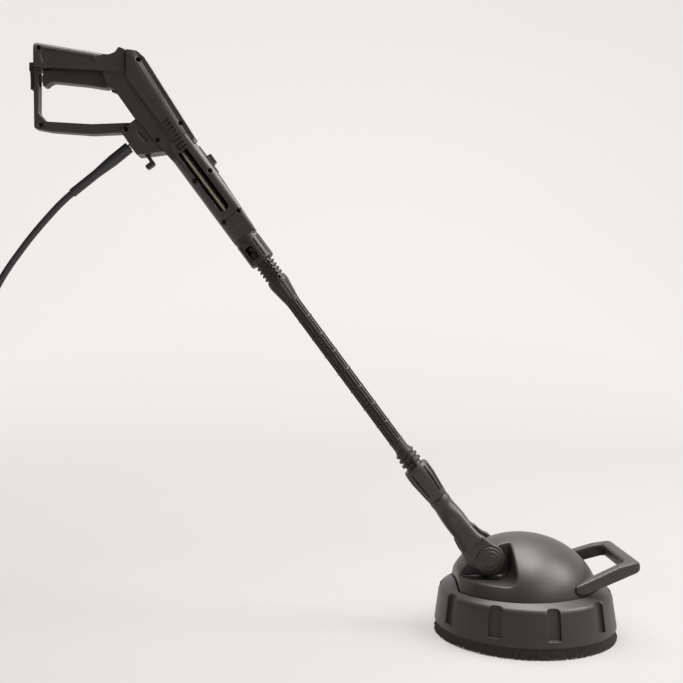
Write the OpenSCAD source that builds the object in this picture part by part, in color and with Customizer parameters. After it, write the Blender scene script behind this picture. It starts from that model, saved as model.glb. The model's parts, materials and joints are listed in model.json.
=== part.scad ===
// Round surface cleaner on a trigger gun: spray head, fork arm, fluted lance, gun and hose.
// Origin: middle of the machine's length on the floor, without its hose. +X is the head's front, +Z is up.

/* [Skirt] */
// Outer radius of the skirt at its lower edge
skirt_r = 125; // [120:1:130]
// Narrowing of the skirt's wall from its lower edge to its top
skirt_lean = 5.5; // [2:0.5:9]
// Height of the top of the skirt wall above the floor
wall_top = 62; // [58:1:66]
// Width of the shoulder, from the lower edge's radius to the opening's edge
shoulder_w = 30; // [27:1:33]
// Rise of the sloping shoulder
shoulder_rise = 12; // [8:1:14]
// Thickness of the moulded walls
wall = 3; // [2:0.5:4]
// Height of the underside of the deck that carries the hub
deck_z = 50; // [47:1:52]
// Number of slot pockets round the skirt
slot_count = 10; // [6:1:12]
// Width of a slot pocket
slot_w = 17; // [10:1:22]
// Height of a slot pocket's sill above the skirt's edge
slot_sill = 9; // [6:1:14]
// Length of a slot pocket up the wall
slot_len = 40; // [20:1:42]
// Depth of a slot pocket
slot_depth = 5; // [3:0.5:6]
// Turn of the first slot pocket from the near side
slot_phase = 7; // [0:1:30]

/* [Brush] */
// Free length of the bristles below the skirt
brush_free = 15; // [10:1:20]
// Number of strip brushes in the ring
strip_count = 5; // [4:1:6]
// Strands along each of the two rows of a strip
row_strands = 40; // [25:1:40]
// Width of a strand
strand_w = 1.6; // [1:0.1:2]
// Height of a strip's backing
backing_h = 4; // [3:0.5:5]
// Width of a strip's backing
backing_w = 11; // [9:0.5:13]
// Thickness of the carrier ring over the backing
carrier_t = 3; // [2:0.5:4]

/* [Dome] */
// Distance of the dome's widest level inside the skirt's lower edge
dome_inset = 20; // [18:1:24]
// Rise of the dome above its widest level
dome_rise = 86; // [80:1:90]
// Height of the dome's widest level
dome_z = 50; // [45:1:54]
// Offset of the dome's axis behind the skirt's
dome_shift = 3; // [0:0.5:5]
// Distance of the flat rear face inside the skirt's lower edge
back_inset = 29; // [23:1:33]
// Width of the shadow gap round the dome's foot
reveal = 1.5; // [1:0.5:3]
// Height of the dome's foot, inside the skirt's opening
dome_foot = 62; // [59:1:63]
// Half width of the ridge between the two fork pockets
ridge_y = 31; // [27:1:33]
// Front wall of a fork pocket, ahead of the pivot
pocket_front = 30; // [27:1:36]
// Floor of a fork pocket, below the pivot
pocket_floor = 25; // [24.5:0.5:30]
// Corner radius of a fork pocket
pocket_corner = 14; // [6:1:20]
// Distance of the circle of dome screws inside the skirt's lower edge
screw_inset = 47; // [45:1:53]

/* [Front handle] */
// Reach of the handle ahead of the skirt's lower edge
handle_reach = 19; // [8:1:30]
// Distance of the handle's roots inside the skirt's lower edge, to each side
root_inset = 39; // [37:1:49]
// Narrowing of the handle from its roots to its front corners, to each side
handle_taper = 20; // [12:1:28]
// Thickness of the handle's bars, seen from above
handle_bar = 16; // [13:1:20]
// Height of the handle's lower edge at its roots
handle_root_z = 66; // [64:1:72]
// Height of the handle's lower edge at the front
handle_tip_z = 98; // [88:1:108]
// Depth of the handle's bars at the front
handle_deep = 15; // [13:1:20]

/* [Rotor] */
// Radius of the spindle
spindle_r = 8; // [7:0.5:9]
// Radial thickness of the spindle's bush
bush_t = 6; // [4:0.5:8]
// Radial thickness of the hub round the bush
hub_t = 8; // [5:0.5:10]
// Height of the spray bar's axis above the floor
bar_z = 31; // [29:0.5:33]
// Radius of the spray bar
bar_r = 7; // [6:0.5:8]
// Distance of the spray bar's ends inside the skirt's lower edge
bar_inset = 29; // [27:1:50]
// Radius of a nozzle
nozzle_r = 5; // [4:0.5:6]
// Tilt of the nozzles that drives the rotor
nozzle_tilt = 20; // [10:1:30]

/* [Fork arm] */
// Distance of the fork pivot behind the skirt's axis
pivot_back = 56; // [52:1:58]
// Height of the fork pivot above the floor
pivot_z = 109; // [106:1:111]
// Radius of a pivot pin
pin_r = 7; // [6:0.5:7.5]
// Running clearance of pins and shafts
running_gap = 0.05; // [0.02:0.01:0.1]
// Half width between the fork legs
leg_in = 35; // [34:1:40]
// Thickness of a fork leg
leg_t = 14; // [10:1:16]
// Radius of the boss at the end of a leg
boss_r = 22; // [20:0.5:24]
// Radius of a pivot cap
cap_r = 18.5; // [14:0.5:20]
// Thickness of a pivot cap
cap_t = 5; // [3:0.5:6]
// Angle of the lance above the floor
lance_angle = 53.5; // [50:0.5:56]
// Distance of the lance's axis below the pivot
axis_drop = 6.3; // [4:0.1:8]
// Length from the pivot to the end of the arm's neck
arm_len = 101; // [95:1:115]

/* [Lance] */
// Length of the fluted socket on the arm
socket_len = 54; // [50:1:66]
// Largest radius of the socket
socket_r = 18.5; // [17:0.5:20]
// Length of the ringed foot of the lance
foot_len = 29; // [26:1:34]
// Radius of the lance tube
tube_r = 10; // [9.5:0.5:11]
// Length of the lance tube
tube_len = 262; // [200:1:320]
// Number of rings on the lance tube
ring_count = 9; // [4:1:12]
// Number of flutes round the lance
flutes = 12; // [8:1:16]
// Length of the fluted cone
cone_len = 34; // [25:1:45]
// Length of the ringed neck
neck_len = 31; // [28:1:40]
// Radius of the plugs at the lance's ends
plug_r = 12; // [11.5:0.5:12.5]
// Length of a plug
plug_len = 27; // [20:1:30]
// Length of the gun's collar
collar_len = 43; // [38:1:50]
// Radius of the gun's collar
collar_r = 18; // [17:0.5:19]

/* [Gun] */
// Half width of the barrel
barrel_y = 17.5; // [17:0.5:19]
// Height of the barrel's top above the axis
barrel_top = 23.4; // [22.5:0.1:25]
// Half width of the casing behind the barrel
casing_y = 18; // [17.5:0.5:20]
// Half width of the casing's lower plate
plate_y = 14.5; // [14:0.5:17]
// Half width of the inlet block
block_y = 14; // [12:0.5:14]
// Half width of the grip
grip_y = 16; // [14:0.5:18]
// Half width of the guard and post
guard_y = 8; // [7:0.5:11]
// Angle between the barrel and the grip
grip_angle = 53.5; // [50:0.5:56]
// Radius of the screw wells
well_r = 3.3; // [2.8:0.1:3.6]
// Length of the slot that shows the pipe
window_len = 102; // [80:1:104]
// Width of the slot that shows the pipe
window_w = 15; // [8:0.5:16]
// Radius of the delivery pipe
pipe_r = 4.5; // [3.5:0.25:5]
// Radius of the valve body
valve_r = 11; // [10:0.5:12]
// Half width of the trigger
trigger_y = 8; // [6:0.5:9]
// Length of the trigger from its pin to its tail
trigger_len = 95; // [85:1:95]
// Lever from the trigger's pin to the valve pin
nose_lever = 22; // [20:0.5:24]
// Swing of the trigger
trigger_swing = 8; // [5:1:9]
// Travel of the barrel slide to each side
slide_travel = 6; // [3:1:8]
// Travel of the rear catch
catch_travel = 6; // [3:1:8]
// Travel of the hose clip
clip_travel = 8; // [4:1:10]

/* [Hose] */
// Diameter of the hose
hose_d = 9.5; // [8:0.5:9.5]
// Length of the rubber sleeve
sleeve_len = 104; // [80:1:110]
// Radius of the sleeve beside the gun
sleeve_r = 8.2; // [7.5:0.1:9]
// Layers of the stored coil
coil_layers = 4; // [2:2:4]
// Turns of the stored coil
coil_turns = 10.5; // [8.5:1:10.5]
// Inner radius of the coil at the hose's axis
coil_in = 51; // [45:1:60]
// Gap between turns and between layers
coil_gap = 0.9; // [0.7:0.1:1.5]

/* [Hidden] */
$fn = 64;

charcoal = "#3b3a39";
black = "#1d1d1e";
brass = "#b08d57";
steel = "#b9bcc0";
// Small length by which a cut runs past a face
past = 1;
// Gap between pieces that are pressed or glued together
seat_gap = 0.02;

// Heights and radii of the head
skirt_z = brush_free;
skirt_top_r = skirt_r - skirt_lean;
shoulder_r = skirt_r - shoulder_w;
dome_r = skirt_r - dome_inset;
dome_back = skirt_r - back_inset;
screw_ring = skirt_r - screw_inset;
handle_front = skirt_r + handle_reach;
handle_root_y = skirt_r - root_inset;
handle_tip_y = handle_root_y - handle_taper;
bar_reach = skirt_r - bar_inset;
shoulder_z = wall_top + shoulder_rise;
inner_r = skirt_top_r - slot_depth - 2.5;
ledge_z = skirt_z + backing_h + carrier_t;
rim_t = 2.2;
recess_r = skirt_r - rim_t;
carrier_gap = 0.2;
carrier_r = recess_r - carrier_gap;
shoulder_round = 9;
draft = atan(skirt_lean / (wall_top - shoulder_round + 1 - skirt_z));
deck_top = deck_z + wall;
bush_r = spindle_r + running_gap + bush_t;
hub_r = bush_r + hub_t;
hub_low = deck_z - 6;
hub_top = deck_top + 25;
clip_z = hub_top + 0.3;
clip_h = 1.4;
spindle_top = hub_top + 6;
chamber_h = 8;
boss_gap = 0.4;
waterway_r = 3;
opening_r = dome_r * cos(asin((dome_foot + 2 - dome_z) / dome_rise)) + reveal;
root_gap = 1.5;

// Places along the lance's axis, measured from the foot of the pivot
socket_end = arm_len + socket_len;
foot_end = socket_end + foot_len;
tube_end = foot_end + tube_len;
cone_end = tube_end + cone_len;
neck_end = cone_end + neck_len;
collar_gap = 1;
muzzle = neck_end + collar_gap + collar_len;
spigot_r = 6;
spigot_len = 15;

// Places on the gun, measured back from the muzzle and up from the axis
barrel_len = 153;
hood_end = -23.5;
rest_end = -22;
bore_r = 12;
collar_tail_r = 13;
collar_tail = 21;
window_start = 43.5;
window_t = 1;
valve_front = 187;
valve_end = 267;
inlet_g = 198.5;
boss_end = -36;
block_face = -51.5;
clip_t = -42;
clip_thick = 4.4;
clip_y = 7;
nipple_r = 6;
neck_r = 4.6;
trigger_g = 286.7;
trigger_t = -20.8;
nose_r = 4;
nose_gap = 0.3;
valve_pin_r = 2.5;
trigger_pin_r = 2.5;
trigger_room = 1.5;
roof_z = 37;
slide_start = 96;
slide_len = 44;
catch_low = -12;
catch_high = 26;
post_out = 108;
grip_end = 105.5;
sleeve_gap = 4;
sleeve_tilt = 2.3;
sleeve_end_r = 6.3;

// Shift that puts the origin under the middle of the machine's length
catch_t = 6.5;
grip_turn = lance_angle - grip_angle;
rear_x = -pivot_back - cos(lance_angle) * (muzzle + trigger_g) + sin(lance_angle) * (trigger_t - axis_drop)
    - cos(grip_turn) * (post_out + catch_t);
head_x = -(rear_x + handle_front) / 2;

// Screw wells on the near half: [place along the gun, height, depth of the seat from the joint]
barrel_wells = [[32.5, 14.5, 10.5], [32.5, -11, 10.5], [101, 15.7, 11], [102.5, -9.7, 10.5],
    [178.5, 22.3, 10], [179, -17.2, 8.5], [284, 27.5, 10], [217, -44, 8]];
// The same for the grip and guard: [back from the trigger's pin, up, depth]
grip_wells = [[98.5, 43.2, 9], [97.5, -62, 3]];
screw_r = 1.5;
screw_head_h = 2.2;
screw_tip = -4.5;

// Route of the free hose from the sleeve to the coil, by hand
lead_route = [[-564, 0, 669.8], [-588, 0, 650.5], [-609, 0, 633.6], [-625.5, 0, 620.3], [-633.3, 0, 614],
    [-649, 0, 600], [-665, 0, 583], [-680, 0, 566],
    [-694, 0, 549], [-708, 0, 530.5], [-722, 0, 511], [-736, 0, 488.5], [-748, 0, 465], [-759, 0, 440],
    [-769, 0, 413], [-778, 0, 384], [-785, 0, 354], [-791, 0, 322], [-795, 0, 289], [-798, 0, 255],
    [-799.5, 0, 220], [-800, 0, 185], [-800, 0, 150], [-800, 0, 118], [-800, 0, 90], [-800, 0.5, 64],
    [-800, 3, 47], [-800, 9, 32], [-800, 19, 19.5], [-800, 32, 10.5], [-800, 46, 5.3], [-800, 60, 3.8],
    [-800, 80, 3.8]];
lead_end = lead_route[len(lead_route) - 1];
// Run of the hose from the top of the coil down to its plug: [along, share of the drop]
tail_route = [[20, 0], [40, 0], [52, 0.12], [64, 0.34], [76, 0.62], [88, 0.86], [100, 0.98], [112, 1],
    [124, 1]];
hose_r = hose_d / 2;
hose_low = hose_d * 0.4;
coil_step = hose_d + coil_gap;
layer_turns = coil_turns / coil_layers;
coil_out = coil_in + coil_step * layer_turns;
coil_x = lead_end.x - coil_out;
coil_y = lead_end.y + hose_d;
coil_rings = 24;
coil_top = hose_low + (coil_layers - 1) * coil_step;
plug_z = 8;
tail_drop = coil_top - plug_z;
tail_len = 124;
tail_x = coil_x - coil_out;
tail_y = coil_y - tail_len;

// Shapes that repeat

function unit(v) = v / norm(v);

// Outline from corners [x, y, r], each rounded by its own radius
function rounded(c, steps = 5) = [
    for (i = [0:len(c) - 1])
        let (
            p = [c[i].x, c[i].y],
            q = c[(i + len(c) - 1) % len(c)],
            n = c[(i + 1) % len(c)],
            r = c[i].z,
            u = unit([q.x, q.y] - p),
            v = unit([n.x, n.y] - p),
            half = acos(max(-1, min(1, u * v))) / 2
        )
        each r == 0 || norm(u + v) < 0.001 ? [p] : let (
            m = p + unit(u + v) * r / sin(half),
            s = p + u * r / tan(half) - m,
            e = p + v * r / tan(half) - m,
            from = atan2(s.y, s.x),
            turn = atan2(s.x * e.y - s.y * e.x, s * e)
        ) [for (j = [0:steps]) m + r * [cos(from + turn * j / steps), sin(from + turn * j / steps)]]
];

// Outline in X and Z, with its width along Y
module side(width) rotate([90, 0, 0]) linear_extrude(width, center = true) children();

// Outline in Y and Z, drawn out along X
module along(length) rotate([90, 0, 90]) linear_extrude(length) children();

// Profile [radius, length] turned about the X axis
module turned() rotate([0, 90, 0]) rotate_extrude() children();

// Profile [radius, length] turned about the Y axis
module turned_y() rotate([-90, 0, 0]) rotate_extrude() children();

module rod(r, from, to) translate([from, 0, 0]) rotate([0, 90, 0]) cylinder(r = r, h = to - from);

module rod_y(r, from, to) translate([0, from, 0]) rotate([-90, 0, 0]) cylinder(r = r, h = to - from);

// Tube of flat-sided section along a route, with one ring at each point
module tube(route, r, sides, up) {
    last = len(route) - 1;
    rings = [
        for (i = [0:last])
            let (
                t = unit(route[min(i + 1, last)] - route[max(i - 1, 0)]),
                n = unit(cross(up, t)),
                b = cross(t, n)
            )
            for (j = [0:sides - 1])
                route[i] + r * (n * cos(360 * (j + 0.5) / sides) + b * sin(360 * (j + 0.5) / sides))
    ];
    walls = [
        for (i = [0:last - 1], j = [0:sides - 1])
            let (a = i * sides + j, b = i * sides + (j + 1) % sides)
            each [[a, a + sides, b + sides], [a, b + sides, b]]
    ];
    ends = [
        for (j = [1:sides - 2])
            each [[0, j, j + 1], [last * sides, last * sides + j + 1, last * sides + j]]
    ];
    polyhedron(rings, concat(walls, ends));
}

// Frames: the wand's X runs up the lance, its Z to the top side and its Y to the near side
module head() translate([head_x, 0, 0]) children();
module wand() head() translate([-pivot_back, 0, pivot_z]) rotate([0, -lance_angle, 180])
    translate([0, 0, -axis_drop]) children();
module gun() wand() translate([muzzle, 0, 0]) children();
// The handle's X runs back along the level grip from the trigger's pin
module handle() gun() translate([trigger_g, 0, trigger_t]) rotate([0, grip_angle, 0]) children();
module inlet() gun() translate([inlet_g, 0, block_face]) rotate([0, sleeve_tilt, 0]) children();

// Head

module slot_cut(angle) rotate([0, 0, angle]) translate([skirt_r, 0, skirt_z]) rotate([0, -draft, 0])
    translate([-slot_depth, 0, slot_sill]) along(20)
        polygon(rounded([[-slot_w / 2, 0, 1], [slot_w / 2, 0, 1], [slot_w / 2, slot_len, slot_w * 0.3],
            [-slot_w / 2, slot_len, slot_w * 0.3]]));

function screw_spots() = [for (a = [45, 135, 225, 315]) screw_ring * [cos(a), sin(a)]];

// Outer line of the skirt from its foot to the top of the shoulder
skirt_line = concat([[skirt_r, skirt_z]],
    [for (a = [0:12.5:62.5]) [skirt_top_r - shoulder_round * (1 - cos(a)),
        wall_top - shoulder_round + 1 + (shoulder_round + 1) * sin(a)]],
    [[shoulder_r, shoulder_z]]);

module shoulder() rotate_extrude($fn = 128) polygon(concat([[shoulder_r - 30, skirt_z]], skirt_line,
    [[shoulder_r - 30, shoulder_z]]));

module skirt_housing() color(charcoal) head() difference() {
    rotate_extrude($fn = 128) polygon(concat(skirt_line,
        [[shoulder_r - wall, shoulder_z], [shoulder_r - wall, shoulder_z - wall],
            [inner_r, wall_top - wall], [inner_r, deck_top], [hub_r, deck_top], [hub_r, hub_top],
            [bush_r, hub_top], [bush_r, hub_low], [hub_r, hub_low], [hub_r, deck_z], [inner_r, deck_z],
            [inner_r, ledge_z], [recess_r, ledge_z], [recess_r, skirt_z]]));
    for (i = [0:slot_count - 1]) slot_cut(slot_phase - 90 + 360 * i / slot_count);
    // Opening round the dome, flat at the back like the dome
    intersection() {
        translate([-dome_shift, 0, deck_top + past]) cylinder(r = opening_r, h = 100, $fn = 128);
        translate([-dome_back - reveal, -200, 0]) cube([400, 400, 300]);
    }
    for (p = screw_spots()) translate([p.x, p.y, deck_z - past]) cylinder(r = 2.1, h = wall + 2 * past);
}

// Point on the dome's section, drawn in from its surface by a distance
function dome_at(angle, inset) = [(dome_r - inset) * cos(angle), dome_z + (dome_rise - inset) * sin(angle)];
dome_steps = 20;

// Solid of the dome's section down to a level
module dome_solid(inset, low) {
    first = asin((dome_foot - dome_z) / (dome_rise - inset));
    translate([-dome_shift, 0, 0]) rotate_extrude($fn = 128) polygon(concat(
        [[0, low], [dome_at(first, inset).x, low]],
        [for (i = [0:dome_steps]) dome_at(first + (90 - first) * i / dome_steps, inset)]));
}

// Space for the fork legs on both sides of the ridge, grown by a wall
module fork_pockets(grow) for (m = [0, 1]) mirror([0, m, 0])
    translate([-pivot_back, ridge_y - grow, pivot_z]) rotate([90, 0, 0]) mirror([0, 0, 1])
        linear_extrude(120) union() {
            front = pocket_front + grow;
            low = -pocket_floor - grow;
            translate([-150, low + pocket_corner]) square([150 + front, 120]);
            translate([-150, low]) square([150 + front - pocket_corner, 120]);
            translate([front - pocket_corner, low + pocket_corner]) circle(pocket_corner);
        }

block_r = pin_r + wall;
block_y_end = ridge_y - wall - 0.3;

module dome_cover() color(charcoal) head() difference() {
    union() {
        difference() {
            dome_solid(0, dome_foot);
            difference() {
                dome_solid(wall, dome_foot - past);
                fork_pockets(wall);
                translate([-dome_back + wall - 200, -200, 0]) cube([200, 400, 300]);
            }
        }
        intersection() {
            dome_solid(wall / 2, deck_top);
            for (p = screw_spots()) translate([p.x, p.y, deck_top]) cylinder(r = 5, h = 90);
        }
    }
    fork_pockets(0);
    translate([-dome_back - 200, -200, 0]) cube([200, 400, 300]);
    translate([-pivot_back, 0, pivot_z]) rod_y(pin_r + 0.5, -60, 60);
    translate([-pivot_back, 0, pivot_z]) rod_y(block_r + 0.3, -block_y_end - 0.3, block_y_end + 0.3);
    for (p = screw_spots()) translate([p.x, p.y, deck_top - past]) cylinder(r = 1.9 + seat_gap, h = 17);
}

module dome_screws() color(steel) head() for (p = screw_spots()) translate([p.x, p.y, deck_z]) {
    cylinder(r = 1.9, h = 17);
    difference() {
        translate([0, 0, -3]) cylinder(r = 4, h = 3);
        translate([0, 0, -3 - past]) cylinder(r = 2, h = 2.2, $fn = 6);
    }
}

module front_handle() color(charcoal) head() difference() {
    intersection() {
        linear_extrude(200) difference() {
            polygon(rounded([[20, -handle_root_y, 0], [55, -handle_root_y, 20],
                [handle_front, -handle_tip_y, 9], [handle_front, handle_tip_y, 9],
                [55, handle_root_y, 20], [20, handle_root_y, 0]]));
            polygon(rounded([[20, -handle_root_y + handle_bar, 0], [55, -handle_root_y + handle_bar, 20],
                [handle_front - handle_bar - 2, -handle_tip_y + handle_bar - 2, 9],
                [handle_front - handle_bar - 2, handle_tip_y - handle_bar + 2, 9],
                [55, handle_root_y - handle_bar, 20], [20, handle_root_y - handle_bar, 0]]));
        }
        side(2 * handle_root_y + 10) polygon(rounded([[50, handle_root_z, 3],
            [handle_front, handle_tip_z, 6], [handle_front, handle_tip_z + handle_deep, 6],
            [handle_front - 30, handle_tip_z + handle_deep - 6, 30], [50, handle_root_z + 17, 5]]));
    }
    dome_solid(0, dome_foot);
    translate([0, 0, root_gap]) shoulder();
}

module brush_carrier() color(charcoal) head() rotate_extrude($fn = 128)
    polygon([[carrier_r - backing_w - 3, skirt_z], [carrier_r - backing_w - 0.3, skirt_z],
        [carrier_r - backing_w - 0.3, skirt_z + backing_h], [carrier_r, skirt_z + backing_h],
        [carrier_r, ledge_z], [carrier_r - backing_w - 3, ledge_z]]);

module brush_strip(i) color(black) head() {
    arc = 360 / strip_count;
    gap = 0.4;
    rotate([0, 0, i * arc + gap / 2]) rotate_extrude(angle = arc - gap, $fn = 128)
        translate([carrier_r - backing_w, skirt_z]) square([backing_w, backing_h]);
    linear_extrude(skirt_z + backing_h / 2) for (row = [0, 1], k = [0:row_strands - 1])
        rotate([0, 0, i * arc + arc * (k + 0.3 + 0.4 * row) / row_strands])
            translate([carrier_r - 1 - 4 * row, 0]) square(strand_w, center = true);
}

// Rotor and its bearing

module spindle_bush() color(brass) head() translate([0, 0, hub_low]) difference() {
    cylinder(r = bush_r - seat_gap, h = hub_top - hub_low);
    translate([0, 0, -past]) cylinder(r = spindle_r + running_gap, h = 100);
}

module swivel_block() color(black) head() difference() {
    union() {
        translate([0, 0, hub_top]) cylinder(r = hub_r, h = chamber_h + 12);
        translate([-pivot_back, -hub_r / 2, pivot_z - block_r]) cube([pivot_back, hub_r, block_r + 4]);
        translate([-pivot_back, 0, pivot_z]) rod_y(block_r, -block_y_end, block_y_end);
        translate([-hub_r / 2, -hub_r / 2, hub_top + chamber_h])
            cube([hub_r, hub_r, pivot_z - hub_top - chamber_h + 4]);
    }
    translate([0, 0, hub_top - past]) cylinder(r = hub_r - 6, h = chamber_h + past);
    translate([0, 0, hub_top]) cylinder(r = waterway_r, h = pivot_z - hub_top);
    translate([0, 0, pivot_z - waterway_r]) rod(waterway_r, -pivot_back, 0);
    translate([-pivot_back, 0, pivot_z]) rod_y(pin_r + running_gap, -60, 60);
}

module spindle_seal() color(black) head() translate([0, 0, spindle_top + 0.1]) difference() {
    cylinder(r = hub_r - 6 - seat_gap, h = hub_top + chamber_h - spindle_top - 0.1);
    translate([0, 0, -past]) cylinder(r = waterway_r + 0.5, h = 20);
}

module spindle() color(steel) head() difference() {
    union() {
        translate([0, 0, bar_z]) cylinder(r = spindle_r, h = spindle_top - bar_z);
        translate([0, 0, bar_z - bar_r - 3])
            cylinder(r = spindle_r + 7, h = hub_low - boss_gap - bar_z + bar_r + 3);
    }
    translate([0, 0, bar_z]) cylinder(r = waterway_r, h = 100);
    translate([0, 0, bar_z]) rod(bar_r + seat_gap, -40, 40);
    translate([0, 0, clip_z]) difference() {
        cylinder(r = spindle_r + past, h = clip_h + 0.1);
        translate([0, 0, -past]) cylinder(r = spindle_r - 1, h = 5);
    }
}

module spindle_circlip() color(steel) head() translate([0, 0, clip_z + 0.05]) linear_extrude(clip_h)
    difference() {
        circle(spindle_r + 3);
        circle(spindle_r - 1 + seat_gap);
        translate([0, -1.5]) square([20, 3]);
    }

module spray_bar() color(steel) head() difference() {
    translate([0, 0, bar_z]) rod(bar_r, -bar_reach, bar_reach);
    translate([0, 0, bar_z]) rod(bar_r - 2, -bar_reach - past, bar_reach + past);
    translate([0, 0, bar_z]) cylinder(r = waterway_r, h = 20);
    for (m = [0, 1]) rotate([0, 0, 180 * m]) translate([bar_reach - 9, 0, bar_z])
        rotate([nozzle_tilt, 0, 0])
        translate([0, 0, -20]) cylinder(r = 1.5, h = 20);
}

module bar_plugs() color(black) head() for (m = [0, 1]) rotate([0, 0, 180 * m])
    translate([bar_reach, 0, bar_z])
    turned() polygon([[0, -6], [bar_r - 2 - seat_gap, -6], [bar_r - 2 - seat_gap, 0], [bar_r, 0],
        [bar_r - 1, 2.5], [0, 2.5]]);

module nozzle(turn) color(brass) head() rotate([0, 0, turn]) difference() {
    translate([bar_reach - 9, 0, bar_z]) rotate([nozzle_tilt, 0, 0]) translate([0, 0, -bar_r - 9])
        difference() {
            union() {
                cylinder(r = nozzle_r, h = bar_r + 6);
                translate([0, 0, 2]) cylinder(r = nozzle_r + 1.5, h = 5, $fn = 6);
            }
            translate([0, 0, -past]) cylinder(r = 1, h = 30);
        }
    translate([0, 0, bar_z]) rod(bar_r + seat_gap, 0, bar_reach + 20);
}

// Fork arm

// Side outline of the arm: boss at the pivot, neck at the other end
module arm_outline() {
    translate([0, axis_drop]) circle(boss_r);
    polygon(rounded([[arm_len - 22, -15.5, 0], [45, -15.4, 20], [18, axis_drop - boss_r - 4.6, 8],
        [11, axis_drop - boss_r - 5.2, 6], [-3, axis_drop - boss_r + 0.3, 0], [0, axis_drop, 0],
        [10, axis_drop + boss_r - 4, 0], [22, axis_drop + boss_r - 7.7, 10], [44, 17.4, 30],
        [arm_len - 22, 15.5, 0]]));
}

leg_out = leg_in + leg_t;

module fork_arm() color(charcoal) wand() difference() {
    union() {
        intersection() {
            side(200) arm_outline();
            translate([0, 0, -100]) linear_extrude(200) difference() {
                polygon(rounded([[-60, -leg_out, 0], [28, -leg_out, 14], [arm_len - 28, -17, 20],
                    [arm_len - 5, -14, 0], [arm_len - 5, 14, 0], [arm_len - 28, 17, 20], [28, leg_out, 14],
                    [-60, leg_out, 0]]));
                polygon(rounded([[-61, -leg_in, 0], [48, -leg_in, 18], [48, leg_in, 18],
                    [-61, leg_in, 0]]));
            }
            // The arm's corners run out towards its round neck
            turned() polygon([[0, -80], [120, -80], [120, -20], [60, arm_len - 73], [15.7, arm_len - 21],
                [0, arm_len - 21]]);
            // Lower outer edges of the legs slope inward
            translate([-60, 0, axis_drop]) along(200) polygon([[-leg_out - 1, 60],
                [-leg_out - 1, -boss_r + 6], [-leg_out + 10, -boss_r - 5], [leg_out - 10, -boss_r - 5],
                [leg_out + 1, -boss_r + 6], [leg_out + 1, 60]]);
        }
        turned() polygon([[0, arm_len - 40], [16.4, arm_len - 40], [14.6, arm_len], [10, arm_len],
            [10, arm_len + 19], [0, arm_len + 19]]);
    }
    translate([0, 0, axis_drop]) rod_y(pin_r + seat_gap, -60, 60);
    rod(waterway_r, arm_len - 30, arm_len + 40);
}

module pivot_pin(m) color(steel) wand() mirror([0, m, 0]) translate([0, 0, axis_drop]) turned_y()
    polygon([[waterway_r, 8], [pin_r - 1, 8], [pin_r, 9], [pin_r, 19], [pin_r - 1.8, 19],
        [pin_r - 1.8, 21.2], [pin_r, 21.2], [pin_r, leg_out], [waterway_r, leg_out]]);

module pivot_seals() color(black) wand() for (m = [0, 1]) mirror([0, m, 0]) translate([0, 20.1, axis_drop])
    rotate([-90, 0, 0]) rotate_extrude() translate([pin_r - 0.9, 0]) circle(0.88, $fn = 24);

module pivot_cap(m) color(charcoal) wand() mirror([0, m, 0]) translate([0, leg_out, axis_drop]) turned_y()
    polygon([[0, 0], [cap_r, 0], [cap_r, cap_t * 0.45], [cap_r - 1, cap_t * 0.6],
        [cap_r - 4.5, cap_t * 0.6], [cap_r - 5, cap_t * 0.8], [cap_r - 6, cap_t * 0.9],
        [cap_r - 8.5, cap_t * 0.9], [cap_r - 9, cap_t * 0.75], [cap_r - 10, cap_t * 0.75],
        [cap_r - 10.5, cap_t], [0, cap_t]]);

socket_grooves = [35, 61, 90, 119, 145];
groove_w = 2.6;

module arm_socket() color(charcoal) wand() difference() {
    turned() polygon([[10 + seat_gap, arm_len], [14.6, arm_len], [socket_r, arm_len + 35],
        [socket_r, socket_end - 4], [socket_r - 1.5, socket_end], [plug_r + seat_gap, socket_end],
        [plug_r + seat_gap, socket_end - plug_len], [waterway_r, socket_end - plug_len],
        [waterway_r, arm_len + 19], [10 + seat_gap, arm_len + 19]]);
    for (a = socket_grooves, m = [0, 1]) rotate([m == 0 ? a - 90 : -a - 90, 0, 0])
        translate([arm_len + 8, -groove_w / 2, socket_r - 4.5]) rotate([0, -4.2, 0])
            cube([socket_len - 13, groove_w, 10]);
}

// Lance

function ring_steps(start, count, pitch, high, drop, low) = [
    for (i = [0:count - 1]) let (r = high - drop * i, x = start + pitch * i)
        each [[low, x], [r - 0.8, x], [r, x + 0.8], [r, x + pitch * 0.55 - 0.8],
            [r - 0.8, x + pitch * 0.55], [low, x + pitch * 0.55]]
];

module flute_cuts(from, length, r, cut) for (i = [0:flutes - 1]) rotate([360 * i / flutes, 0, 0])
    translate([0, 0, r]) rod(cut, from, from + length);

foot_neck = 6.2;
catch_bed = 9.2;

module lance_foot() color(charcoal) wand() {
    difference() {
        turned() polygon(concat(
            [[waterway_r, socket_end - plug_len], [plug_r - 1, socket_end - plug_len],
                [plug_r, socket_end - plug_len + 1], [plug_r, socket_end - plug_len + 5],
                [plug_r - 2, socket_end - plug_len + 5], [plug_r - 2, socket_end - plug_len + 8],
                [plug_r, socket_end - plug_len + 8], [plug_r, socket_end]],
            ring_steps(socket_end + foot_neck, 3, (foot_len - foot_neck) / 3, 15, 0.6, 11.4),
            [[11.4, foot_end], [spigot_r, foot_end], [spigot_r, foot_end + spigot_len],
                [waterway_r, foot_end + spigot_len]]));
        translate([socket_end + 0.6, catch_bed, -7.5]) cube([12, 10, 10.5]);
    }
    // Catch of the coupling in its notch
    translate([socket_end + 2.4, catch_bed - 2, -5]) cube([5.6, 5, 5.5]);
}

module foot_seal() color(black) wand() translate([socket_end - plug_len + 6.5, 0, 0]) rotate([0, 90, 0])
    rotate_extrude() translate([plug_r - 1, 0]) circle(0.98, $fn = 24);

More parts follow.
